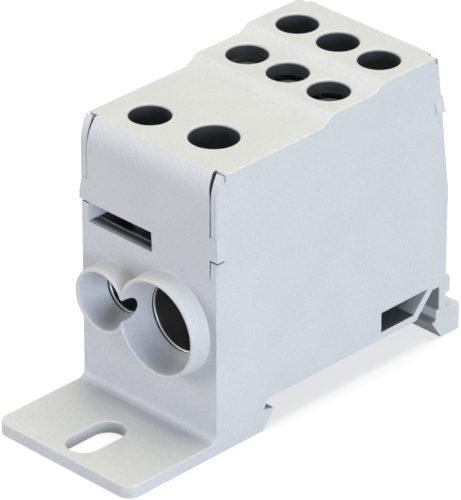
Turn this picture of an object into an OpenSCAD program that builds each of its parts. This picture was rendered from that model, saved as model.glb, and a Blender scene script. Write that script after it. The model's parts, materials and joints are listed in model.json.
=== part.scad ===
// Single-pole terminal block: a moulded housing that clips on a 35 mm rail or is screwed
// down by its ear, a snap-on cover, a conductor block and eight clamping screws.
// X runs from the ear to the latch foot, Y across the width, Z up from the base.

/* [Rail clip] */
// Width of the mounting rail
rail_w = 35; // [30:0.5:45]
// Play of the rail between the notch and the latch
rail_play = 0.3; // [0.1:0.05:0.6]
// Height of the rail seat above the base
seat_z = 4.85; // [4.2:0.05:8]
// Height of the notch that takes the rail's edge
notch_h = 1.45; // [1.2:0.05:2]
// Slant of the notch's root towards the seat
notch_lead = 0.6; // [0.2:0.1:1.2]
// Reach of the front hook under the rail
hook_reach = 2; // [1:0.1:3]
// Fall of the hook's top towards its nose
hook_drop = 0.45; // [0.2:0.05:0.8]
// Distance of the hook's toe ahead of the notch
hook_toe = 0.3; // [0:0.1:2]
// Thickness of the latch's spring strip
spring_t = 1.15; // [0.8:0.05:1.6]
// Slant of the spring strip from the vertical, in degrees
spring_slant = 42; // [30:1:48]
// Distance from the latch groove back to the window's lower corner
window_back = 4.7; // [4.2:0.1:5.5]
// Length of the latch window along its lower edge
window_l = 6.8; // [3:0.1:10]
// Height of the latch window
window_h = 3.1; // [2.4:0.1:3.6]
// Drop of the slot behind the spring strip below the window's top
slot_drop = 0.6; // [0.3:0.1:1]
// Reach of the latch hook under the rail
latch_reach = 0.95; // [0.5:0.05:1.5]
// Distance of the latch's toe behind the groove
latch_toe = 1.05; // [0.6:0.05:1.5]
// Depth of the relief above the latch groove
leg_relief = 0.4; // [0.2:0.05:0.8]
// Thickness of the latch leg
leg_t = 1.6; // [1.2:0.1:2.4]
// Reach of the foot behind the leg
foot_reach = 2.9; // [2:0.1:5]
// Height of the foot
foot_h = 4.4; // [3:0.1:4.8]
// Reach of the lip at the foot of the back wall
lip_reach = 0.8; // [0.3:0.1:1.5]
// Height of that lip
lip_h = 2.6; // [1:0.1:3]

/* [Body] */
// Width of the body
body_w = 26.5; // [25.5:0.5:40]
// Distance from the rail notch forward to the front wall's face
front_reach = 9.45; // [8.5:0.05:14]
// Thickness of the side walls
side_wall = 1.25; // [1:0.05:1.5]
// Thickness of the front wall
front_wall = 1.75; // [0.8:0.05:2]
// Thickness of the back wall
back_wall = 1.2; // [0.8:0.05:1.6]
// Thickness of the floor above the latch window
floor_t = 1.15; // [0.8:0.05:2]
// Height of the front wall's top edge
sill_z = 27.2; // [26.8:0.1:29]
// Height of the back wall's top edge
back_sill_z = 36.4; // [35:0.1:38]
// Height at which the back starts to lean forward
lean_z = 23.5; // [20:0.5:30]
// Lean of the back, in degrees
back_lean = 7; // [3:0.5:8]

/* [Ear] */
// Length of the ear ahead of the front wall
ear_l = 17.1; // [15:0.1:30]
// Thickness of the ear
ear_t = 2; // [1.5:0.1:3]
// Radius of the ear's front corners
ear_corner_r = 2; // [1:0.1:4]
// Radius of the fillet between the ear and the front wall
ear_fillet = 1.2; // [1:0.1:3]
// Overall length of the ear's slot
slot_l = 9.8; // [7:0.1:10.5]
// Width of the ear's slot
slot_w = 5.2; // [4:0.1:6.4]
// Distance from the ear's front edge to the slot's middle
slot_inset = 6.6; // [6:0.1:8]

/* [Cover] */
// Height of the front level of the cover
level_1 = 43.6; // [43:0.1:48]
// Rise from the front level to the middle one
rise_2 = 1.4; // [0.6:0.1:2.5]
// Rise from the middle level to the back one
rise_3 = 1.1; // [0.6:0.1:2.5]
// Distance from the first ramp to the middle row of holes
ramp_1_gap = 4.8; // [4.2:0.1:6]
// Distance from the middle row of holes to the second ramp
ramp_2_gap = 3.6; // [3.5:0.1:4]
// Length of each ramp between levels
ramp_l = 2; // [1:0.1:2.5]
// Thickness of the cover's plate
plate_t = 1.2; // [0.9:0.05:1.4]
// Thickness of the cover's skirts
skirt_t = 1.2; // [0.9:0.05:1.4]
// How far the skirts stand proud of the housing
skirt_proud = 0.15; // [0.1:0.05:0.3]
// Seam between the cover and the housing
seam = 0.35; // [0.2:0.05:0.45]
// Height over which the front curves back to the top
brow_h = 4.3; // [3:0.1:6]
// How far the front curves back at the top
brow_back = 1.3; // [0.8:0.1:2]
// Length of the plate's corner cut-outs
corner_cut = 0.5; // [0.3:0.1:1]
// Drop of the corner posts below the plate's top
post_drop = 0.4; // [0.2:0.1:0.8]
// Height of the slit in the front skirt
slit_h = 3.2; // [1.5:0.1:3.4]
// Distance from the middle to the slit's closed end
slit_end = 0.7; // [0:0.1:4]
// Height of the front lugs' lower edge above the sill
lug_rise = 3.4; // [3.4:0.1:5]
// Height of the front lugs
lug_h = 3.6; // [2:0.1:5]
// Length of the lugs along the sides
lug_l = 1.4; // [1:0.1:3]
// Clearance between the lugs and the side walls
lug_gap = 0.1; // [0.05:0.01:0.15]
// Thickness of the lugs at their lower edge
lug_t = 0.25; // [0.2:0.05:0.5]
// Thickness of the lugs at their upper edge
lug_top_t = 0.08; // [0.05:0.01:0.15]
// Height of the lugs' full thickness
lug_foot = 0.9; // [0.4:0.1:1.5]
// Depth of the notches behind the lugs
lug_notch = 0.4; // [0.2:0.05:0.6]
// Height of the back lugs' lower edge above the back wall
back_lug_rise = 0.6; // [0.2:0.1:1.5]
// Height of the back lugs
back_lug_h = 2.5; // [1.5:0.1:3.5]
// Wall around the holes under the plate
pad_wall = 0.5; // [0.3:0.05:0.6]
// Depth of the deep holes' walls below the cover's top
deep_pad = 4; // [2.5:0.1:5]
// Depth of the middle row's walls below the cover's top
short_pad = 2.2; // [1.8:0.1:2.4]
// Rounding of the holes' upper edges
hole_lip = 0.4; // [0.2:0.05:0.6]

/* [Inputs] */
// Height of the input bores' axes
input_z = 17.9; // [16.5:0.1:19]
// Distance of the large input to the right of the middle
large_y = 4.25; // [4:0.05:5]
// Distance of the small input to the left of the middle
small_y = 6.5; // [6.2:0.05:7]
// Radius of the large input bore
large_r = 5.2; // [4.6:0.05:5.6]
// Radius of the small input bore
small_r = 3.3; // [3.2:0.05:3.8]
// Length of the entry funnels ahead of the front wall
funnel_l = 3.2; // [2:0.1:6]
// Wall of the funnels at the rim
funnel_wall = 0.65; // [0.5:0.05:1]
// Radius of the fillet between the funnels and the front wall
funnel_fillet = 0.3; // [0.2:0.05:0.8]
// Flare of the large funnel from throat to rim
large_flare = 1.55; // [1:0.05:1.8]
// Flare of the small funnel from throat to rim
small_flare = 0.95; // [0.6:0.05:1.1]
// Step from each input bore out to the funnel's throat
throat_step = 0.1; // [0.05:0.05:0.4]
// Fullness of the funnels' bowls, higher for walls that stay wide for longer
bowl_power = 3.5; // [2:0.1:5]
// Distance from the front wall's face to the large input screw
large_screw_in = 8.55; // [8:0.05:10]
// Distance from the front wall's face to the small input screw
small_screw_in = 6.9; // [6.5:0.05:9]
// Radius of the large input screw
large_screw_r = 4; // [3.7:0.05:4.4]
// Radius of the large input's access hole
large_hole_r = 3.6; // [3:0.05:3.8]

/* [Outputs] */
// Distance between neighbouring outputs
output_pitch = 7.9; // [7.8:0.05:9]
// Height of the lower outputs' axes
lower_z = 16; // [15.5:0.1:17]
// Height of the upper outputs' axes
upper_z = 25.5; // [25:0.1:27]
// Radius of the output bores
output_r = 3.25; // [3.15:0.05:3.4]
// Step from each output bore out to its entry in the back wall
entry_step = 0.25; // [0.1:0.05:0.3]
// Flare of the output entries in the back wall
entry_flare = 0.25; // [0.1:0.05:0.3]
// Radius of the output screws and the small input screw
screw_r = 3; // [2.6:0.05:3.1]
// Radius of the access holes over them
hole_r = 3.05; // [2.8:0.05:3.2]
// Distance from the back wall's face to the back row of screws
back_row_in = 9.2; // [8.5:0.1:11]
// Distance between the two rows of output screws
row_gap = 10.1; // [9:0.1:12]

/* [Conductor block] */
// Clearance between the conductor block and the walls
block_gap = 0.2; // [0.1:0.05:0.6]
// Drop of the block's front part below the sill
block_drop = 0.4; // [0.2:0.1:1]
// Height of the metal above the upper output bores
crown = 6.6; // [5:0.1:7.5]
// Run of each wire bore past its screw
bore_end = 1.6; // [1.4:0.1:3]
// Step by which each output bore stops short of the one to its left
bore_stagger = 0.2; // [0.1:0.05:0.3]
// Chamfer at the mouths of the bores
mouth = 0.2; // [0.1:0.05:0.5]
// Radial clearance of the screws in their threads
thread_gap = 0.08; // [0.03:0.01:0.1]

/* [Screws] */
// Gap between an open screw's tip and its bore
tip_gap = 0.3; // [0.1:0.05:0.6]
// Length of the large input screw
large_screw_l = 14; // [12:0.5:15]
// Length of the small input screw
small_screw_l = 15; // [12:0.5:17]
// Length of the upper output screws
upper_screw_l = 12.2; // [10:0.1:12.6]
// Length of the lower output screws
lower_screw_l = 23; // [20:0.1:23.2]
// Chamfer at the ends of the screws
screw_chamfer = 0.5; // [0.3:0.05:0.8]
// Width across flats of the screws' sockets
socket_af = 3; // [2.5:0.1:4]
// Width across flats of the large screw's socket
large_socket_af = 4; // [3:0.1:5]
// Depth of the sockets
socket_d = 3; // [2:0.1:5]

/* [Hidden] */
$fn = 64;

// Smoothness of the arcs in the outlines, and the overlap of cuts and joined solids
arc_steps = 10;
over = 1;

// Colours of the three materials
plastic = [0.80, 0.81, 0.80];
tinned = [0.72, 0.73, 0.74];
steel = [0.62, 0.63, 0.65];

// Rail clip, measured from the root of the front notch
notch_z = seat_z - notch_h;
groove_x = rail_w + rail_play;
leg_in = groove_x + leg_relief;
back_x = leg_in + leg_t;
foot_x = back_x + foot_reach;
window_z = seat_z + spring_t;
window_top = window_z + window_h;
window_x1 = groove_x - window_back;
window_x0 = window_x1 - window_l;
spring_run = tan(spring_slant);
spring_w = spring_t / cos(spring_slant);
spring_foot = window_x1 - spring_run * spring_t + spring_w;
slot_top = window_top - slot_drop;
floor_z = window_top + floor_t;
lip_top = floor_z - slot_drop;

// Body and ear
half_w = body_w / 2;
half_in = half_w - side_wall;
front_x = -front_reach;
ear_x = front_x - ear_l;
front_in = front_x + front_wall;
middle_x = (ear_x + foot_x) / 2;

// Cover levels and rows
level_2 = level_1 + rise_2;
level_3 = level_2 + rise_3;
back_row = back_x - back_row_in;
mid_row = back_row - row_gap;
ramp_2 = mid_row + ramp_2_gap;
ramp_1 = mid_row - ramp_1_gap - ramp_l;
large_x = front_x + large_screw_in;
small_x = front_x + small_screw_in;
skirt_x = front_x - skirt_proud;
skirt_half = half_in - seam;
skirt_z = sill_z + seam / 2;
back_skirt_z = back_sill_z + seam / 2;
brow_z = level_1 - brow_h;
brow_r = (brow_h * brow_h + brow_back * brow_back) / (2 * brow_back);
brow_turn = 2 * atan(brow_back / brow_h);
plate_x0 = front_x + brow_back + corner_cut;
plate_x1 = lean_x(level_3) - corner_cut;

front_lug_z = sill_z + lug_rise;
back_lug_z = back_sill_z + back_lug_rise;

// Conductor block
block_x0 = front_in + block_gap;
block_x1 = lean_x(back_sill_z) - back_wall / cos(back_lean) - block_gap;
block_half = half_in - block_gap;
block_low = sill_z - block_drop;
block_high = upper_z + output_r + crown;
block_step = (large_x + large_screw_r + mid_row - screw_r) / 2;

// X of the leaning back face at a height, and points on an arc in a section
function lean_x(z) = back_x - max(0, z - lean_z) * tan(back_lean);
function arc(x, z, r, from, to) =
    [for (i = [0 : arc_steps]) let (a = from + (to - from) * i / arc_steps) [x + r * cos(a), z + r * sin(a)]];

// The stepped line of the cover's top, lowered by a drop, between two ends
function top_line(x0, x1, drop) =
    [[x0, level_1 - drop], [ramp_1, level_1 - drop], [ramp_1 + ramp_l, level_2 - drop],
     [ramp_2, level_2 - drop], [ramp_2 + ramp_l, level_3 - drop], [x1, level_3 - drop]];
function reversed(points) = [for (i = [len(points) - 1 : -1 : 0]) points[i]];

// Places the part with its base's middle at the origin
module placed() {
    translate([-middle_x, 0, 0]) children();
}

// Extrudes an X-Z outline across the width
module across(y0, y1) {
    translate([0, y1, 0]) rotate([90, 0, 0]) linear_extrude(y1 - y0) children();
}

// Extrudes a Y-Z outline along the length
module along(x0, x1) {
    translate([x0, 0, 0]) rotate([90, 0, 90]) linear_extrude(x1 - x0) children();
}

// Revolves a profile of radius and depth about an axis along +X
module turned_x(x, y, z) {
    translate([x, y, z]) rotate([0, 90, 0]) rotate_extrude() children();
}

// A box between two corners
module box(low, high) {
    translate(low) cube(high - low);
}

// Side view of the housing: base, hook, seat, latch, back, wall tops and front
module housing_outline() {
    polygon(concat(
        [[front_x, 0], [-hook_toe, 0], [hook_reach, notch_z - hook_drop], [0, notch_z],
         [notch_lead, seat_z], [spring_foot, seat_z],
         [spring_foot + spring_run * (slot_top - seat_z), slot_top], [leg_in, slot_top],
         [leg_in, seat_z], [groove_x, seat_z], [groove_x, notch_z],
         [groove_x - latch_reach, notch_z - hook_drop], [groove_x + latch_toe, 0],
         [foot_x, 0], [foot_x, foot_h], [back_x, foot_h],
         [back_x, lip_top - lip_h], [back_x + lip_reach, lip_top - lip_h],
         [back_x + lip_reach, lip_top], [back_x, lip_top],
         [back_x, lean_z], [lean_x(level_3 - post_drop), level_3 - post_drop],
         [plate_x1 + seam, level_3 - post_drop], [plate_x1 + seam, level_3 - plate_t]],
        reversed(top_line(plate_x0 - seam, plate_x1, plate_t)),
        [[plate_x0 - seam, level_1 - post_drop]],
        reversed(arc(front_x + brow_r, brow_z, brow_r, 180, 180 - brow_turn))));
}

// Plan of the ear: square at the wall, round at the front corners
module ear() {
    box([ear_x + ear_corner_r, -half_w, 0], [front_x + over, half_w, ear_t]);
    box([ear_x, ear_corner_r - half_w, 0], [front_x + over, half_w - ear_corner_r, ear_t]);
    for (side = [-1, 1])
        translate([ear_x + ear_corner_r, side * (half_w - ear_corner_r), 0])
            cylinder(r = ear_corner_r, h = ear_t);
    difference() {
        box([front_x - ear_fillet, -half_w, ear_t - over], [front_x + over, half_w, ear_t + ear_fillet]);
        translate([front_x - ear_fillet, 0, ear_t + ear_fillet])
            rotate([90, 0, 0]) cylinder(r = ear_fillet, h = body_w + 2 * over, center = true);
    }
}

// Slot for one fixing screw
module ear_slot() {
    reach = (slot_l - slot_w) / 2;
    translate([ear_x + slot_inset, 0, -over]) {
        for (end = [-1, 1])
            translate([end * reach, 0, 0]) cylinder(d = slot_w, h = ear_t + 2 * over);
        box([-reach, -slot_w / 2, 0], [reach, slot_w / 2, ear_t + 2 * over]);
    }
}

// Outside of one entry funnel
module funnel(y, rim_r) {
    lip = funnel_wall / 2;
    foot_r = rim_r + funnel_wall + funnel_fillet;
    foot_l = funnel_l + front_wall / 2;
    turned_x(front_x - funnel_l, y, input_z)
        polygon(concat([[0, 0]], arc(rim_r + lip, lip, lip, -90, 0),
                       arc(foot_r, funnel_l - funnel_fillet, funnel_fillet, 180, 90),
                       [[foot_r, foot_l], [0, foot_l]]));
}

// Inside of one entry funnel: a bowl that narrows from the rim to the throat
module bowl(y, throat_r, flare) {
    depth = funnel_l + front_wall;
    lip = funnel_wall / 2;
    turned_x(front_x - funnel_l, y, input_z)
        polygon(concat([[0, -over], [throat_r + flare + lip, -over]],
                       arc(throat_r + flare + lip, lip, lip, 270, 180),
                       [for (i = [1 : arc_steps]) let (t = i / arc_steps)
                           [throat_r + flare * (1 - pow(t, bowl_power)), lip + (depth - lip) * t]],
                       [[throat_r, depth + over], [0, depth + over]]));
}

// One round output entry in the back wall
module output_entry(y, z) {
    throat = output_r + entry_step;
    mouth_x = lean_x(z + throat) - entry_flare;
    mouth_l = back_x + over - mouth_x;
    turned_x(block_x1 - over, y, z) square([throat, mouth_x + mouth_l - block_x1 + over]);
    turned_x(mouth_x, y, z)
        polygon([[0, 0], [throat, 0], [throat + entry_flare, entry_flare],
                 [throat + entry_flare, mouth_l], [0, mouth_l]]);
}

// Room inside the housing for the conductor block and the cover's skirts
module housing_cavity() {
    across(-half_in, half_in)
        polygon([[front_in, floor_z], [back_x - back_wall, floor_z], [back_x - back_wall, lean_z],
                 [lean_x(back_sill_z) - back_wall / cos(back_lean), back_sill_z],
                 [foot_x, back_sill_z], [foot_x, level_3 + over],
                 [ear_x, level_3 + over], [ear_x, sill_z], [front_in, sill_z]]);
}

// Notch in the left side wall's front corner, behind a front lug and open just below it
module lug_pocket() {
    low = front_lug_z - seam;
    high = front_lug_z + lug_foot;
    box([front_x - over, half_w - lug_notch, low], [front_x + lug_l, half_w + over, high]);
    box([front_x - over, half_in - over, low], [front_x + lug_notch, half_w + over, high]);
}

module housing() {
    color(plastic) placed() difference() {
        union() {
            difference() {
                across(-half_w, half_w) housing_outline();
                housing_cavity();
                across(-half_w - over, half_w + over)
                    polygon([[window_x0, window_z], [window_x1, window_z],
                             [window_x1 + spring_run * window_h, window_top], [window_x0, window_top]]);
            }
            ear();
            funnel(-large_y, large_r + throat_step + large_flare);
            funnel(small_y, small_r + throat_step + small_flare);
        }
        ear_slot();
        for (side = [-1, 1]) scale([1, side, 1]) lug_pocket();
        bowl(-large_y, large_r + throat_step, large_flare);
        bowl(small_y, small_r + throat_step, small_flare);
        for (column = [-1 : 1], z = [lower_z, upper_z])
            output_entry(column * output_pitch, z);
    }
}

// Section of the cover between the side walls: front skirt, stepped plate and back skirt
module cover_section() {
    back_top = lean_x(level_3) + skirt_proud;
    back_low = lean_x(back_skirt_z) + skirt_proud;
    polygon(concat(
        [[skirt_x, skirt_z]],
        arc(skirt_x + brow_r, brow_z, brow_r, 180, 180 - brow_turn),
        top_line(skirt_x + brow_back, back_top, 0),
        [[back_low, back_skirt_z], [back_low - skirt_t, back_skirt_z]],
        reversed(top_line(skirt_x + brow_back + skirt_t, back_top - skirt_t, plate_t)),
        reversed(arc(skirt_x + brow_r, brow_z, brow_r - skirt_t, 180, 180 - brow_turn)),
        [[skirt_x + skirt_t, skirt_z]]));
}

// Wedge profile of a lug from its foot to its thin top; the outer line is given by a thickness
function wedge(inner, way, base, z, h) =
    [[base, z], [inner + way * lug_t, z], [inner + way * lug_t, z + lug_foot],
     [inner + way * lug_top_t, z + h], [base, z + h]];

// One front lug: a wedge that hugs the corner of the left side wall from outside
module front_lug() {
    back = front_x + lug_l;
    difference() {
        intersection() {
            across(skirt_half - over, half_w + over)
                polygon(wedge(front_x - lug_gap, -1, back, front_lug_z, lug_h));
            along(front_x - over, back)
                polygon(wedge(half_w + lug_gap, 1, skirt_half - over, front_lug_z, lug_h));
        }
        box([front_x - lug_gap, skirt_half - 2 * over, 0], [back + over, half_w + lug_gap, level_1]);
    }
}

// One back lug: it hugs the leaning back corner of the left side wall from outside
module back_lug() {
    outer = half_w + lug_gap + lug_t;
    proud = lug_gap + lug_t;
    across(skirt_half - over, outer) leaning(lug_gap, proud);
    across(half_w + lug_gap, outer) leaning(-lug_l, proud);
}

// Side view of a back lug between two distances behind the leaning back face
module leaning(from, to) {
    top = back_lug_z + back_lug_h;
    polygon([[lean_x(back_lug_z) + from, back_lug_z], [lean_x(back_lug_z) + to, back_lug_z],
             [lean_x(top) + to, top], [lean_x(top) + from, top]]);
}

// Thicker bar under the plate around holes from one Y to another
module pad(x, y0, y1, r, top, depth) {
    reach = r + pad_wall;
    box([x - reach, y0 - reach, top - depth], [x + reach, y1 + reach, top - plate_t / 2]);
}

// Access hole with a rounded upper edge
module access_hole(x, y, r, top) {
    depth = deep_pad + over;
    translate([x, y, top - depth]) rotate_extrude()
        polygon(concat([[0, 0], [r, 0]], arc(r + hole_lip, depth - hole_lip, hole_lip, 180, 90),
                       [[r + hole_lip, depth + over], [0, depth + over]]));
}

module cover() {
    columns = [-output_pitch, 0, output_pitch];
    color(plastic) placed() difference() {
        union() {
            across(-skirt_half, skirt_half) cover_section();
            across(-half_w, half_w)
                polygon(concat(top_line(plate_x0, plate_x1, 0), reversed(top_line(plate_x0, plate_x1, plate_t))));
            for (side = [-1, 1]) scale([1, side, 1]) {
                front_lug();
                back_lug();
            }
            pad(large_x, -large_y, -large_y, large_hole_r, level_1, deep_pad);
            pad(small_x, small_y, small_y, hole_r, level_1, deep_pad);
            pad(mid_row, columns[0], columns[2], hole_r, level_2, short_pad);
            pad(back_row, columns[0], columns[2], hole_r, level_3, deep_pad);
        }
        box([skirt_x - over, -slit_end, skirt_z - over], [skirt_x + skirt_t + over, half_w, skirt_z + slit_h]);
        access_hole(large_x, -large_y, large_hole_r, level_1);
        access_hole(small_x, small_y, hole_r, level_1);
        for (y = columns) {
            access_hole(mid_row, y, hole_r, level_2);
            access_hole(back_row, y, hole_r, level_3);
        }
    }
}

// Blind wire bore with a chamfered mouth; it runs from the block's face towards an end
module wire_bore(face, y, z, r, end) {
    way = face < end ? 1 : -1;
    translate([face, y, z]) rotate([0, way * 90, 0]) rotate_extrude()
        polygon([[0, -over], [r + mouth, -over], [r + mouth, 0], [r, mouth],
                 [r, abs(end - face)], [0, abs(end - face)]]);
}

// Threaded hole for a screw, from above the block down to a bore's axis
module thread_hole(x, y, r, z) {
    translate([x, y, z]) cylinder(r = r + thread_gap, h = block_high + over - z);
}

module conductor_block() {
    color(tinned) placed() difference() {
        across(-block_half, block_half)
            polygon([[block_x0, floor_z], [block_x1, floor_z], [block_x1, block_high],
                     [block_step, block_high], [block_step, block_low], [block_x0, block_low]]);
        wire_bore(block_x0, -large_y, input_z, large_r, large_x + large_screw_r + bore_end);
        wire_bore(block_x0, small_y, input_z, small_r, small_x + screw_r + bore_end);
        thread_hole(large_x, -large_y, large_screw_r, input_z);
        thread_hole(small_x, small_y, screw_r, input_z);
        for (column = [-1 : 1]) {
            y = column * output_pitch;
            past_axis = screw_r + bore_end - (1 - column) * bore_stagger;
            wire_bore(block_x1, y, lower_z, output_r, mid_row - past_axis);
            wire_bore(block_x1, y, upper_z, output_r, back_row - past_axis);
            thread_hole(mid_row, y, screw_r, lower_z);
            thread_hole(back_row, y, screw_r, upper_z);
        }
    }
}

// Set screw with a hexagon socket, its tip just clear of the bore below it
module set_screw(x, y, bore_top, r, l, af) {
    color(steel) placed() translate([x, y, bore_top + tip_gap]) difference() {
        rotate_extrude()
            polygon([[0, 0], [r - screw_chamfer, 0], [r, screw_chamfer], [r, l - screw_chamfer],
                     [r - screw_chamfer, l], [0, l]]);
        translate([0, 0, l - socket_d]) cylinder(d = af / cos(30), h = socket_d + over, $fn = 6);
    }
}

module input_screw_large() {
    set_screw(large_x, -large_y, input_z + large_r, large_screw_r, large_screw_l, large_socket_af);
}

module input_screw_small() {
    set_screw(small_x, small_y, input_z + small_r, screw_r, small_screw_l, socket_af);
}

module lower_output_screw(column) {
    set_screw(mid_row, column * output_pitch, lower_z + output_r, screw_r, lower_screw_l, socket_af);
}

module upper_output_screw(column) {
    set_screw(back_row, column * output_pitch, upper_z + output_r, screw_r, upper_screw_l, socket_af);
}

housing();
cover();
conductor_block();
input_screw_large();
input_screw_small();
lower_output_screw(1);  // lower_output_screw_left
lower_output_screw(0);  // lower_output_screw_middle
lower_output_screw(-1);  // lower_output_screw_right
upper_output_screw(1);  // upper_output_screw_left
upper_output_screw(0);  // upper_output_screw_middle
upper_output_screw(-1);  // upper_output_screw_right
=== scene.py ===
import itertools
import json
import math

import bmesh
import bpy
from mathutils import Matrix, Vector


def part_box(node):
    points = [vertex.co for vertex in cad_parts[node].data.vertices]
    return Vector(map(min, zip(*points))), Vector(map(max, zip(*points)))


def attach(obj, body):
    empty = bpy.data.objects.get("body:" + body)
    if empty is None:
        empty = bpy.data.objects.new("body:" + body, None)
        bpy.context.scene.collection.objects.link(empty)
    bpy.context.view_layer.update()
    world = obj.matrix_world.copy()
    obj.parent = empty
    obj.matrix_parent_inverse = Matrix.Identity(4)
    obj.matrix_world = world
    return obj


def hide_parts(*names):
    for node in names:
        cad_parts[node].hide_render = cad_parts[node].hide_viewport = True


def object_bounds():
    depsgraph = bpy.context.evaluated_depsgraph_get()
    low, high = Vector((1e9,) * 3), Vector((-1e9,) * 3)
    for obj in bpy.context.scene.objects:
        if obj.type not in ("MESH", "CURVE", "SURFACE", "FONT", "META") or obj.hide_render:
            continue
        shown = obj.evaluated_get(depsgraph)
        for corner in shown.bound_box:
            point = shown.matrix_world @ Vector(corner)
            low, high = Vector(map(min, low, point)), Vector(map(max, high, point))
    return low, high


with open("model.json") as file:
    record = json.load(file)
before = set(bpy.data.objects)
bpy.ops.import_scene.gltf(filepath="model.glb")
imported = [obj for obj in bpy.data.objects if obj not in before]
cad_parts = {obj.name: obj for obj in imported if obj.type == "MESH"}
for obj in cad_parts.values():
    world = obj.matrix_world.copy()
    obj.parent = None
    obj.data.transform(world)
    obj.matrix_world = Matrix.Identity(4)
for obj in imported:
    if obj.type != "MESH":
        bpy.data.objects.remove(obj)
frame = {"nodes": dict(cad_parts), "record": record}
cad_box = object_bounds()

MM = 0.001

# The part stands upright, and its front with the ear and the funnels looks along -X
UP = Vector((0, 0, 1))
FORWARD = Vector((-1, 0, 0))

# Attribute in which a hollow's faces store the plane of its mouth, from which the painted shade takes its
# depth
MOUTH = "mouth"

# Camera, fitted to the photograph's straight edges, and the turn about X at which a camera looks level
CAMERA_AT = (-0.464443, -0.457660, 0.386287)
CAMERA_DOWN = 29.26
CAMERA_TURN = -45.41
CAMERA_LENS = 384.03
SENSOR = 36.0
LEVEL = 90.0

# Clean-up of the solids' meshes, and the angle from which an edge is sharp, before and after rounding
WELD = 0.002 * MM
FLAT = math.radians(0.1)
SHARP = math.radians(28.0)
STILL_SHARP = math.radians(50.0)

# Cosine from which a face counts as facing some way, in general and beside the plate's seam
FACING = 0.9
SEAM_FACING = 0.7

# Edge radii of the mouldings and the metal block, and the steps of a rounding
EDGE_R = 0.2 * MM
BLOCK_R = 0.1 * MM
EDGE_STEPS = 3

# Room for a rounding: the places along an edge where it is looked for, how far, the share that is used,
# the least radius that is made, and the bend up to which two edges run on into each other
PROBES = (0.1, 0.5, 0.9)
WIDEST = 2.0 * MM
ROOM_SHARE = 0.4
LEAST_R = 0.02 * MM
BEND = math.radians(60.0)

# Screws: shares of the diameter for the pitch, the thread's depth and the socket's width; then the socket's
# depth and the ends' chamfer
SCREWS = [node for node in frame["nodes"] if "screw" in node]
PITCH = 1 / 6
THREAD = 0.1
SOCKET = 0.5
SOCKET_DEPTH = 3.0 * MM
CHAMFER = 0.5 * MM

# Thread: corners of its profile as shares of the pitch and the depth, sides of a turn, turns to be trimmed;
# and the angle between a hexagon's corners
PROFILE = ((0.0, 0.0), (0.15, 0.0), (0.45, 1.0), (0.6, 1.0))
THREAD_SIDES = 48
SPARE_TURNS = 3
HEXAGON_SECTOR = math.radians(60.0)

# Half the housing's width, and the underside of the cover's plate at its lowest step
HALF_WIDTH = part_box("housing")[1].y
PLATE_FOOT = 42.4 * MM

# Front wall's and front skirt's faces, half the skirt's width, how far back its sides are looked for, and how
# they close up below and open along the brow
FRONT = -16.275 * MM
SKIRT_FRONT = -16.425 * MM
SKIRT_HALF = 11.65 * MM
SKIRT_DEEP = 2.0 * MM
SKIRT_WIDEN = 0.2 * MM
BROW_GAPE = 0.36 * MM
BROW_FOOT = 39.3 * MM
BROW_TOP = 43.6 * MM

# Upper ends of the front and back lugs
LUG_TOP = 34.2 * MM
BACK_LUG_TOP = 39.5 * MM

# Tops of the front and back walls, and the seam above them
SILLS = (27.2 * MM, 36.4 * MM)
SILL_SEAM = 0.175 * MM

# Top of the block's front part, and how far it is lifted into the slit's view
BLOCK_LOW = 26.8 * MM
BLOCK_LIFT = 0.6 * MM

# How far an access hole's wall may lie outside its screw, and the skirt's side faces from half its width
HOLE_LIP = 0.6 * MM
SIDE_SLACK = 0.6 * MM

# Boxes of the side view that get painted shade, as lowest and highest X and Z: the latch window, the gaps
# behind the latch's strip and the pockets behind the front lugs
WINDOW = ((16.9 * MM, 5.9 * MM), (26.7 * MM, 9.2 * MM))
LATCH_GAPS = (((28.6 * MM, 4.8 * MM), (29.0 * MM, 8.6 * MM)),
              ((27.5 * MM, -0.1 * MM), (29.6 * MM, 3.45 * MM)))
LUG_POCKETS = ((-16.3 * MM, 30.2 * MM), (-14.8 * MM, 31.55 * MM))

# How fast the painted shade on the window's ends and the front wall's top darkens with depth, next to the
# other hollows
WINDOW_SHADE = 0.09
SILL_SHADE = 0.36

# Depths that stand for an even painted shade: in the window, the latch's gaps and the pockets, on the block's
# front
WINDOW_DEPTH = 0.37 * MM
LATCH_DEPTH = 0.29 * MM
POCKET_DEPTH = 0.4 * MM
FRONT_DEPTH = 0.29 * MM

# Noise: the plain and the finer detail, the whole range, and the levels between which two greys blend
DETAIL = 2.0
FINE_DETAIL = 3.0
WHOLE = (0.0, 1.0)
BLEND = (0.3, 0.7)

# Plastic: greys of its clouds in the dull and the bright grain, grey of the painted shade in the hollows and
# the depths where that begins and is full, scales of the noises per metre, roughness, and the bumps' strength
# and height
DULL_GREYS = ((0.580, 0.593, 0.589), (0.603, 0.614, 0.605))
BRIGHT_GREYS = ((0.630, 0.643, 0.639), (0.653, 0.664, 0.655))
PAINTED_SHADE_GREY = (0.052, 0.055, 0.061)
PAINTED_SHADE_DEPTHS = (0.05 * MM, 0.45 * MM)
PLASTIC_CLOUDS = 140
PLASTIC_GRAIN = 2800
PLASTIC_GLOSS = 2600
PLASTIC_BUMPS = 3400
PLASTIC_ROUGHNESS = (0.42, 0.55)
PLASTIC_BUMP = (0.35, 0.03 * MM)

# Tin, in the same way, with a painted shade for its marked faces; its milling marks are stretched along X
TIN_GREYS = ((0.30, 0.305, 0.295), (0.42, 0.42, 0.40))
TIN_PAINTED_SHADE = (0.035, 0.035, 0.033)
TIN_PAINTED_SHADE_DEPTHS = (0.1 * MM, 0.4 * MM)
TIN_MARKS = (300, 6000, 6000)
TIN_GLOSS = 900
TIN_ROUGHNESS = (0.28, 0.45)
TIN_BUMP = (0.15, 0.02 * MM)

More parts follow.
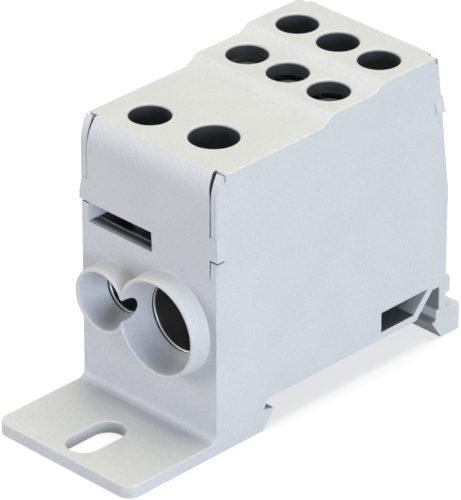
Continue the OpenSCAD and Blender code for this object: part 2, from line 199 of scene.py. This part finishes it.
# Steel, in the same way
STEEL_GREYS = ((0.36, 0.37, 0.40), (0.56, 0.57, 0.58))
STEEL_BLOTCHES = 700
STEEL_GLOSS = 1800
STEEL_BUMPS = 8000
STEEL_ROUGHNESS = (0.25, 0.42)
STEEL_BUMP = (0.1, 0.01 * MM)

# Stage: strength of the even light, half the floor's width, its grey and the glow that makes it look white
WHITE = (1.0, 1.0, 1.0, 1.0)
EVEN_LIGHT = 0.15
FLOOR_HALF = 3.0
FLOOR_GREY = (0.45, 0.45, 0.45, 1.0)
FLOOR_GLOW = 0.65

# Lamps: their size, and the place, power and colour of each
LAMP_SIZE = 0.6
LAMPS = {
    "top": ((0.1, 0.0, 1.0), 7.7, (1.0, 0.966, 0.85)),
    "back": ((0.55, 0.05, 0.8), 0.7, (1.0, 1.0, 1.0)),
    "right": ((0.0, -1.0, 0.12), 2.5, (0.985, 1.0, 0.807)),
    "left": ((-0.7, 0.7, 0.2), 5.0, (0.94, 0.91, 1.0)),
    "right_front": ((-0.39, -0.92, 0.1), 10.5, (0.675, 0.76, 1.0)),
}


def new_object(name, data):
    made = bpy.data.objects.new(name, data)
    bpy.context.scene.collection.objects.link(made)
    return made


def object_from(work, name):
    """Turns a finished bmesh into an object."""
    mesh = bpy.data.meshes.new(name)
    work.to_mesh(mesh)
    work.free()
    return new_object(name, mesh)


def body_of(node):
    bodies = frame["record"]["behaviour"]["bodies"]
    return next(body for body, nodes in bodies.items() if node in nodes)


def stand_for(piece, node):
    """Puts a piece in a node's place, on the node's body."""
    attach(piece, body_of(node))
    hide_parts(node)


def axis_of(node):
    """Axis point, radius, foot and top of an upright round node."""
    low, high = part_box(node)
    return (low + high) / 2, (high.x - low.x) / 2, low.z, high.z


# Clean copies of the solids, fitted to their neighbours

def seat_cover(work):
    """Closes the cover up: lugs flush with the skirt and the walls, skirt nearer to the corner posts."""
    for vert in work.verts:
        side, reach = math.copysign(1.0, vert.co.y), abs(vert.co.y)
        vert.co.x = max(vert.co.x, SKIRT_FRONT)
        upper_end = abs(vert.co.z - (LUG_TOP if vert.co.x < 0 else BACK_LUG_TOP)) < WELD
        if upper_end:
            vert.co.y = side * min(reach, HALF_WIDTH)
        if upper_end and vert.co.x < 0 and reach > SKIRT_HALF + WELD:
            vert.co.x = max(vert.co.x, FRONT)
        if abs(reach - SKIRT_HALF) < WELD and vert.co.x < FRONT + SKIRT_DEEP:
            rise = (vert.co.z - BROW_FOOT) / (BROW_TOP - BROW_FOOT)
            vert.co.y += side * (SKIRT_WIDEN - BROW_GAPE * min(max(rise, 0.0), 1.0))


def seat_housing(work):
    """Draws the front and back walls' tops up to the cover's skirts."""
    for vert in work.verts:
        if min(abs(vert.co.z - sill) for sill in SILLS) < WELD:
            vert.co.z += SILL_SEAM


def seat_block(work):
    """Lifts the top of the block's front part until its edge shows in the slit."""
    for vert in work.verts:
        if abs(vert.co.z - BLOCK_LOW) < WELD:
            vert.co.z += BLOCK_LIFT


def cleaned_copy(node, seat):
    """The node's mesh with its seams welded and its flat faces whole."""
    work = bmesh.new()
    work.from_mesh(frame["nodes"][node].data)
    bmesh.ops.remove_doubles(work, verts=work.verts, dist=WELD)
    seat(work)
    bmesh.ops.remove_doubles(work, verts=work.verts, dist=WELD)
    bmesh.ops.dissolve_degenerate(work, edges=work.edges, dist=WELD)
    bmesh.ops.dissolve_limit(work, angle_limit=FLAT, verts=work.verts, edges=work.edges)
    work.normal_update()
    return work


# Room for the roundings

def crossings(face, came, here, way):
    """Where a line in a face meets the edges ahead: distance, the edge's number, edge and point."""
    side = face.normal.cross(way)
    hits = []
    for edge in face.edges:
        first, second = (vert.co - here for vert in edge.verts)
        if edge is came or first.dot(side) * second.dot(side) > 0:
            continue
        span = first.dot(side) - second.dot(side)
        hit = first.lerp(second, first.dot(side) / span) if span else first
        if hit.dot(way) > WELD:
            hits.append((hit.dot(way), edge.index, edge, here + hit))
    return hits


def width_beside(loop, start):
    """How far the surface runs from a face's edge, straight away from it, to the next sharp edge."""
    face, came, here, gone = loop.face, loop.edge, start, 0.0
    way = face.normal.cross(loop.link_loop_next.vert.co - loop.vert.co).normalized()
    while gone < WIDEST:
        hits = crossings(face, came, here, way)
        if not hits:
            break
        step, _, came, here = min(hits, key=lambda row: row[:2])
        gone += step
        if came.tag:
            return gone
        face = next(other for other in came.link_faces if other is not face)
        way = (way - face.normal * way.dot(face.normal)).normalized()
    return WIDEST


def corner_room(edge, loop):
    """The largest radius at a face's corner that leaves some of an edge and of its sharp neighbour."""
    if not (edge.tag and loop.edge.tag and loop.link_loop_prev.edge.tag and loop.is_convex):
        return WIDEST
    shortest = min(loop.edge.calc_length(), loop.link_loop_prev.edge.calc_length())
    return shortest * math.tan(loop.calc_angle() / 2)


def room_for(edge):
    """The space that the rounding of an edge has on the two faces beside it."""
    ends = [vert.co for vert in edge.verts]
    starts = [ends[0].lerp(ends[1], share) for share in PROBES]
    widths = [width_beside(loop, start) for loop in edge.link_loops for start in starts]
    corners = [corner_room(edge, corner)
               for loop in edge.link_loops for corner in (loop, loop.link_loop_next)]
    return min(widths + corners)


def allowed_steps(radii):
    """Pairs of edges that run on into each other, with the difference of radius that their bend allows."""
    pairs = []
    for vert in dict.fromkeys(vert for edge in radii for vert in edge.verts):
        meeting = [edge for edge in vert.link_edges if edge in radii]
        for first, second in itertools.combinations(meeting, 2):
            ways = [edge.other_vert(vert).co - vert.co for edge in (first, second)]
            turn = math.pi - ways[0].angle(ways[1])
            if turn < BEND:
                shortest = min(way.length for way in ways)
                pairs.append((first, second, ROOM_SHARE * math.sin(turn) * shortest))
    return pairs


def even_out(radii):
    """Where two edges run on into each other, brings the larger radius down to what their bend allows."""
    pairs = allowed_steps(radii)
    changed = True
    while changed:
        changed = False
        for first, second, step in pairs:
            for small, large in ((first, second), (second, first)):
                if radii[large] > radii[small] + step + WELD:
                    radii[large] = radii[small] + step
                    changed = True


# Rounded copies

def weigh_edges(work, radius_at):
    """Stores the radii of the sharp outer edges: by radius_at, or less where there is no room."""
    weights = work.edges.layers.float.new("bevel_weight_edge")
    work.edges.index_update()
    for edge in work.edges:
        edge.tag = edge.calc_face_angle() > SHARP
        edge.smooth = not edge.tag
    radii = {edge: min(radius_at(edge), ROOM_SHARE * room_for(edge))
             for edge in work.edges if edge.tag and edge.is_convex}
    even_out(radii)
    for edge, radius in radii.items():
        if radius > LEAST_R:
            edge[weights] = radius / EDGE_R
            edge.smooth = True


def round_edges(piece):
    """Rounds the weighted edges by a modifier."""
    bevel = piece.modifiers.new("edges", "BEVEL")
    bevel.limit_method = "WEIGHT"
    bevel.width = EDGE_R
    bevel.segments = EDGE_STEPS
    bevel.use_clamp_overlap = False
    bevel.loop_slide = False


def keep_rounding(piece):
    """Makes the rounding part of the mesh, so that the edges where it ends can be set sharp."""
    before = piece.data
    graph = bpy.context.evaluated_depsgraph_get()
    piece.data = bpy.data.meshes.new_from_object(piece.evaluated_get(graph))
    piece.modifiers.clear()
    bpy.data.meshes.remove(before)
    work = bmesh.new()
    work.from_mesh(piece.data)
    for edge in work.edges:
        edge.smooth = edge.smooth and edge.calc_face_angle() < STILL_SHARP
    work.to_mesh(piece.data)
    work.free()


def rounded(node, name, seat, radius_at, mark):
    """A copy of a node with rounded edges and its hollows marked for painted shade."""
    work = cleaned_copy(node, seat)
    weigh_edges(work, radius_at)
    mouth = work.faces.layers.float_color.new(MOUTH)
    for face in work.faces:
        face.smooth = True
        face[mouth] = (0.0, 0.0, 0.0, 0.0)
    mark(work)
    piece = object_from(work, name)
    round_edges(piece)
    keep_rounding(piece)
    normals = piece.modifiers.new("normals", "WEIGHTED_NORMAL")
    normals.keep_sharp = True
    return piece


def on_seam(edge, way):
    """Is this a side edge, with a face up or down, along which the plate lies on the side walls?"""
    middle = (edge.verts[0].co + edge.verts[1].co) / 2
    facing = max(face.normal.z * way for face in edge.link_faces)
    at_side = abs(abs(middle.y) - HALF_WIDTH) < WELD
    return at_side and middle.z > PLATE_FOOT - WELD and facing > SEAM_FACING


def on_sill(edge):
    """Does this edge lie where a skirt's foot meets a wall's top?"""
    return any(all(abs(vert.co.z - sill - SILL_SEAM) < WELD for vert in edge.verts) for sill in SILLS)


def cover_radius(edge):
    """The cover's lower edges close up on the walls."""
    return 0.0 if on_seam(edge, -1) or on_sill(edge) else EDGE_R


def housing_radius(edge):
    """The walls' tops close up under the cover."""
    return 0.0 if on_seam(edge, 1) or on_sill(edge) else EDGE_R


def block_radius(edge):
    """All the block's edges are alike."""
    return BLOCK_R


# Hollows: each face inside one stores the plane of its mouth, from which the painted shade takes its depth

def mark_mouth(work, faces, outward, steepness=1.0):
    """Stores on the faces the plane that bounds them in the outward direction, scaled by a steepness."""
    layer = work.faces.layers.float_color[MOUTH]
    level = max(outward.dot(vert.co) for face in faces for vert in face.verts)
    for face in faces:
        face[layer] = (*(outward * steepness), level * steepness)


def mark_depth(work, faces, depth):
    """Stores one depth of painted shade on the whole of the faces."""
    layer = work.faces.layers.float_color[MOUTH]
    for face in faces:
        face[layer] = (0.0, 0.0, 0.0, depth)


def hole_walls(work, centre, reach):
    """Faces that line an upright round hole."""
    found = []
    for face in work.faces:
        offsets = [(vert.co - centre).xy for vert in face.verts]
        inward = face.normal.xy.dot(sum(offsets, Vector((0, 0)))) < 0
        if inward and max(offset.length for offset in offsets) <= reach:
            found.append(face)
    return found


def faces_at(work, way, level):
    """Faces that look some way and lie at one level along it."""
    return [face for face in work.faces if face.normal.dot(way) > FACING
            and all(abs(way.dot(vert.co) - level) < WELD for vert in face.verts)]


def faces_within(work, box):
    """Faces that lie in a box of the side view."""
    (low_x, low_z), (high_x, high_z) = box
    return [face for face in work.faces
            if all(low_x < vert.co.x < high_x and low_z < vert.co.z < high_z for vert in face.verts)]


def mark_cover(work):
    """Painted shade on the access holes' walls, and on the skirt's side faces in the gaps beside the corner
    posts.
    """
    for node in SCREWS:
        centre, radius, _, _ = axis_of(node)
        mark_mouth(work, hole_walls(work, centre, radius + HOLE_LIP), UP)
    sides = [face for face in work.faces if abs(face.normal.y) > FACING
             and all(vert.co.x < FRONT + SKIRT_DEEP for vert in face.verts)
             and abs(abs(face.calc_center_median().y) - SKIRT_HALF) < SIDE_SLACK]
    mark_mouth(work, sides, FORWARD)


def mark_block(work):
    """Painted shade on the top of the block's front part behind its edge, and on its front face round the
    bores.
    """
    mark_mouth(work, faces_at(work, UP, BLOCK_LOW + BLOCK_LIFT), FORWARD)
    front = max(FORWARD.dot(vert.co) for vert in work.verts)
    mark_depth(work, faces_at(work, FORWARD, front), FRONT_DEPTH)


def mark_window(work):
    """Painted shade in the latch window, which runs through the housing; the ends of each half have their own
    mouth.
    """
    inside = faces_within(work, WINDOW)
    edges = dict.fromkeys(edge for face in inside for edge in face.edges)
    verts = dict.fromkeys(vert for face in inside for vert in face.verts)
    bmesh.ops.bisect_plane(work, geom=[*verts, *edges, *inside], plane_co=(0, 0, 0), plane_no=(0, 1, 0))
    inside = faces_within(work, WINDOW)
    mark_depth(work, [face for face in inside if abs(face.normal.z) > FACING], WINDOW_DEPTH)
    ends = [face for face in inside if abs(face.normal.z) < FACING]
    for way in (-1, 1):
        half = [face for face in ends if face.calc_center_median().y * way > 0]
        mark_mouth(work, half, Vector((0, way, 0)), WINDOW_SHADE)


def mark_housing(work):
    """Painted shade on the front wall's top under the skirt, in the pockets behind the lugs, the latch's gaps
    and window.
    """
    mark_mouth(work, faces_at(work, UP, SILLS[0] + SILL_SEAM), FORWARD, SILL_SHADE)
    mark_depth(work, faces_within(work, LUG_POCKETS), POCKET_DEPTH)
    for gap in LATCH_GAPS:
        mark_depth(work, faces_within(work, gap), LATCH_DEPTH)
    mark_window(work)


# Threaded screws

def hexagon_radius(angle, flats):
    """Distance from a hexagon's middle to its side in one direction, from its width across flats."""
    return flats / 2 / math.cos((angle + HEXAGON_SECTOR / 2) % HEXAGON_SECTOR - HEXAGON_SECTOR / 2)


def ring_of(work, level):
    """The open edges of a mesh at one height."""
    return [edge for edge in work.edges if edge.is_boundary
            and all(abs(vert.co.z - level) < WELD for vert in edge.verts)]


def extrude_ring(work, ring, radius_at, level):
    """Draws an open ring on to a new radius, which may depend on the angle, and a new height."""
    grown = bmesh.ops.extrude_edge_only(work, edges=ring)["geom"]
    for vert in (item for item in grown if isinstance(item, bmesh.types.BMVert)):
        angle = math.atan2(vert.co.y, vert.co.x)
        radius = radius_at(angle)
        vert.co = (radius * math.cos(angle), radius * math.sin(angle), level)
    return [item for item in grown if isinstance(item, bmesh.types.BMEdge)]


def add_thread(work, radius, root, length):
    """Winds the profile up a helix, from a turn below the foot to beyond the top."""
    pitch = 2 * radius * PITCH
    turns = int(length / pitch) + SPARE_TURNS
    rows = [(pitch * (turn - 1 + share), root + (radius - root) * rise)
            for turn in range(turns) for share, rise in PROFILE]
    columns = []
    for side in range(THREAD_SIDES + 1):
        angle = 2 * math.pi * side / THREAD_SIDES
        lead = pitch * side / THREAD_SIDES
        columns.append([work.verts.new((reach * math.cos(angle), reach * math.sin(angle), level + lead))
                        for level, reach in rows])
    for left, right in zip(columns, columns[1:]):
        for row in range(len(rows) - 1):
            work.faces.new((left[row], right[row], right[row + 1], left[row + 1]))
    bmesh.ops.remove_doubles(work, verts=work.verts, dist=WELD)


def trim(work, low, high):
    """Cuts off what lies below and above two heights."""
    for level, way in ((low, -1), (high, 1)):
        everything = [*work.verts, *work.edges, *work.faces]
        bmesh.ops.bisect_plane(work, geom=everything, plane_co=(0, 0, level), plane_no=(0, 0, way),
                               clear_outer=True)


def close_ends(work, radius, root, length):
    """Chamfers both ends, closes the foot and sinks a hexagon socket into the top."""
    chamfered = root - CHAMFER / 2
    flats = 2 * radius * SOCKET
    end = extrude_ring(work, ring_of(work, CHAMFER), lambda angle: chamfered, 0.0)
    bmesh.ops.contextual_create(work, geom=end)
    ring = extrude_ring(work, ring_of(work, length - CHAMFER), lambda angle: chamfered, length)
    ring = extrude_ring(work, ring, lambda angle: hexagon_radius(angle, flats), length)
    ring = extrude_ring(work, ring, lambda angle: hexagon_radius(angle, flats), length - SOCKET_DEPTH)
    bmesh.ops.contextual_create(work, geom=ring)
    bmesh.ops.recalc_face_normals(work, faces=work.faces)


def threaded_screw(node):
    """A set screw with a helical thread, chamfered ends and a hexagon socket."""
    centre, radius, foot, top = axis_of(node)
    length = top - foot
    root = radius - 2 * radius * THREAD
    work = bmesh.new()
    add_thread(work, radius, root, length)
    trim(work, CHAMFER, length - CHAMFER)
    close_ends(work, radius, root, length)
    for edge in work.edges:
        edge.smooth = len(edge.link_faces) == 2 and edge.calc_face_angle() < SHARP
    for face in work.faces:
        face.smooth = True
    bmesh.ops.translate(work, verts=work.verts, vec=(centre.x, centre.y, foot))
    return object_from(work, f"{node}_thread")


# Materials

class Shader:
    """A new material with its node tree and principled shader at hand."""

    def __init__(self, name):
        self.material = bpy.data.materials.new(name)
        self.material.use_nodes = True
        self.tree = self.material.node_tree
        self.surface = self.tree.nodes["Principled BSDF"]
        self.place = self.node("ShaderNodeTexCoord").outputs["Object"]

    def node(self, kind, **settings):
        made = self.tree.nodes.new(kind)
        for name, value in settings.items():
            setattr(made, name, value)
        return made

    def link(self, source, target):
        self.tree.links.new(source, target)

    def noise(self, scale, detail=DETAIL, place=None):
        made = self.node("ShaderNodeTexNoise")
        made.inputs["Scale"].default_value = scale
        made.inputs["Detail"].default_value = detail
        self.link(place or self.place, made.inputs["Vector"])
        return made.outputs["Fac"]

    def stretched(self, scale):
        made = self.node("ShaderNodeMapping")
        made.inputs["Scale"].default_value = scale
        self.link(self.place, made.inputs["Vector"])
        return made.outputs["Vector"]

    def ranged(self, value, source=WHOLE, target=WHOLE):
        """Maps one range of a value smoothly to another."""
        made = self.node("ShaderNodeMapRange", interpolation_type="SMOOTHSTEP")
        for name, number in zip(("From Min", "From Max", "To Min", "To Max"), (*source, *target)):
            made.inputs[name].default_value = number
        self.link(value, made.inputs["Value"])
        return made.outputs["Result"]

    def mixed(self, share, first, second):
        made = self.node("ShaderNodeMix", data_type="RGBA")
        self.link(share, made.inputs["Factor"])
        for socket, colour in (("A_Color", first), ("B_Color", second)):
            target = next(item for item in made.inputs if item.identifier == socket)
            if isinstance(colour, bpy.types.NodeSocket):
                self.link(colour, target)
            else:
                target.default_value = (*colour, 1.0)
        return next(item for item in made.outputs if item.identifier == "Result_Color")

    def depth(self):
        """Distance inside the mouth of a hollow marked for painted shade, and 0 on other faces."""
        mouth = self.node("ShaderNodeAttribute", attribute_name=MOUTH)
        along = self.node("ShaderNodeVectorMath", operation="DOT_PRODUCT")
        self.link(mouth.outputs["Vector"], along.inputs[0])
        self.link(self.place, along.inputs[1])
        made = self.node("ShaderNodeMath", operation="SUBTRACT")
        self.link(mouth.outputs["Alpha"], made.inputs[0])
        self.link(along.outputs["Value"], made.inputs[1])
        return made.outputs["Value"]

    def paint(self, colour):
        self.link(colour, self.surface.inputs["Base Color"])

    def gloss(self, scale, roughness):
        """Lets the roughness wander between two values."""
        self.link(self.ranged(self.noise(scale), target=roughness), self.surface.inputs["Roughness"])

    def bump(self, height, strength, distance):
        made = self.node("ShaderNodeBump")
        made.inputs["Strength"].default_value = strength
        made.inputs["Distance"].default_value = distance
        self.link(height, made.inputs["Height"])
        self.link(made.outputs["Normal"], self.surface.inputs["Normal"])


def plastic():
    """Light grey moulded plastic with a fine grain; marked hollows get a painted shade that falls to a dark
    grey with depth.
    """
    shader = Shader("grey_plastic")
    clouds = shader.ranged(shader.noise(PLASTIC_CLOUDS, FINE_DETAIL), BLEND)
    grain = shader.ranged(shader.noise(PLASTIC_GRAIN), BLEND)
    grey = shader.mixed(grain, shader.mixed(clouds, *DULL_GREYS), shader.mixed(clouds, *BRIGHT_GREYS))
    # Painted shade: marked hollows turn dark grey with depth below their mouth
    painted_shade = shader.ranged(shader.depth(), PAINTED_SHADE_DEPTHS)
    shader.paint(shader.mixed(painted_shade, grey, PAINTED_SHADE_GREY))
    shader.gloss(PLASTIC_GLOSS, PLASTIC_ROUGHNESS)
    shader.bump(shader.noise(PLASTIC_BUMPS), *PLASTIC_BUMP)
    return shader.material


def tinned_metal():
    """Tin plate with faint milling marks along its length; marked faces get a painted shade that falls to a
    dark grey with depth.
    """
    shader = Shader("tinned_metal")
    shader.surface.inputs["Metallic"].default_value = 1.0
    marks = shader.noise(1.0, FINE_DETAIL, shader.stretched(TIN_MARKS))
    # Painted shade: marked faces of the block turn near-black with depth
    painted_shade = shader.ranged(shader.depth(), TIN_PAINTED_SHADE_DEPTHS)
    shader.paint(shader.mixed(painted_shade, shader.mixed(marks, *TIN_GREYS), TIN_PAINTED_SHADE))
    shader.gloss(TIN_GLOSS, TIN_ROUGHNESS)
    shader.bump(marks, *TIN_BUMP)
    return shader.material


def plated_steel():
    """Zinc-plated steel with a slightly uneven, cool sheen."""
    shader = Shader("plated_steel")
    shader.surface.inputs["Metallic"].default_value = 1.0
    shader.paint(shader.mixed(shader.noise(STEEL_BLOTCHES, FINE_DETAIL), *STEEL_GREYS))
    shader.gloss(STEEL_GLOSS, STEEL_ROUGHNESS)
    shader.bump(shader.noise(STEEL_BUMPS), *STEEL_BUMP)
    return shader.material


# Stage

def seen_directly(tree):
    """1 for rays that show the background itself: camera, glossy and transmission rays."""
    path = tree.nodes.new("ShaderNodeLightPath")
    total = path.outputs["Is Camera Ray"]
    for name in ("Is Glossy Ray", "Is Transmission Ray"):
        either = tree.nodes.new("ShaderNodeMath")
        either.operation = "MAXIMUM"
        tree.links.new(total, either.inputs[0])
        tree.links.new(path.outputs[name], either.inputs[1])
        total = either.outputs["Value"]
    return total


def white_world():
    """Faint even light all round; the world itself is seen as plain white."""
    world = bpy.data.worlds.new("studio")
    world.use_nodes = True
    bpy.context.scene.world = world
    tree = world.node_tree
    soft = tree.nodes["Background"]
    soft.inputs["Color"].default_value = WHITE
    soft.inputs["Strength"].default_value = EVEN_LIGHT
    shown = tree.nodes.new("ShaderNodeBackground")
    shown.inputs["Color"].default_value = WHITE
    mix = tree.nodes.new("ShaderNodeMixShader")
    tree.links.new(seen_directly(tree), mix.inputs["Fac"])
    tree.links.new(soft.outputs["Background"], mix.inputs[1])
    tree.links.new(shown.outputs["Background"], mix.inputs[2])
    tree.links.new(mix.outputs["Shader"], tree.nodes["World Output"].inputs["Surface"])


def floor_finish():
    """Matt grey that glows for the camera, so that it is white where no shadow falls."""
    shader = Shader("floor")
    shader.surface.inputs["Base Color"].default_value = FLOOR_GREY
    shader.surface.inputs["Roughness"].default_value = 1.0
    shader.surface.inputs["Specular IOR Level"].default_value = 0.0
    shader.surface.inputs["Emission Color"].default_value = WHITE
    scaled = shader.node("ShaderNodeMath", operation="MULTIPLY")
    scaled.inputs[1].default_value = FLOOR_GLOW
    shader.link(seen_directly(shader.tree), scaled.inputs[0])
    shader.link(scaled.outputs["Value"], shader.surface.inputs["Emission Strength"])
    return shader.material


def white_floor():
    """A plain square floor under the part."""
    corners = [(x * FLOOR_HALF, y * FLOOR_HALF, 0) for x, y in ((-1, -1), (1, -1), (1, 1), (-1, 1))]
    mesh = bpy.data.meshes.new("floor")
    mesh.from_pydata(corners, [], [range(len(corners))])
    floor = new_object("floor", mesh)
    mesh.materials.append(floor_finish())


def lamp(name, at, target, power, colour):
    """A soft round lamp that shines on a point."""
    light = bpy.data.lights.new(name, "AREA")
    light.shape = "DISK"
    light.size = LAMP_SIZE
    light.energy = power
    light.color = colour
    holder = new_object(name, light)
    holder.location = at
    holder.rotation_euler = (Vector(target) - Vector(at)).to_track_quat("-Z", "Y").to_euler()


def camera():
    """The photograph's view."""
    data = bpy.data.cameras.new("camera")
    data.lens = CAMERA_LENS
    data.sensor_width = SENSOR
    holder = new_object("camera", data)
    holder.location = CAMERA_AT
    holder.rotation_euler = (math.radians(LEVEL - CAMERA_DOWN), 0, math.radians(CAMERA_TURN))
    bpy.context.scene.camera = holder


bpy.context.scene.view_settings.view_transform = "Standard"
camera()
white_world()
white_floor()
middle = (cad_box[0] + cad_box[1]) / 2
for name, (at, power, colour) in LAMPS.items():
    lamp(name, at, middle, power, colour)

finishes = {"grey_plastic": plastic(), "tinned_metal": tinned_metal(), "plated_steel": plated_steel()}
for node, name, seat, radius_at, mark, slot in (
        ("housing", "housing_moulding", seat_housing, housing_radius, mark_housing, "grey_plastic"),
        ("cover", "cover_moulding", seat_cover, cover_radius, mark_cover, "grey_plastic"),
        ("conductor_block", "conductor_block_milled", seat_block, block_radius, mark_block, "tinned_metal")):
    piece = rounded(node, name, seat, radius_at, mark)
    piece.data.materials.clear()
    piece.data.materials.append(finishes[slot])
    stand_for(piece, node)
for node in SCREWS:
    piece = threaded_screw(node)
    piece.data.materials.append(finishes["plated_steel"])
    stand_for(piece, node)
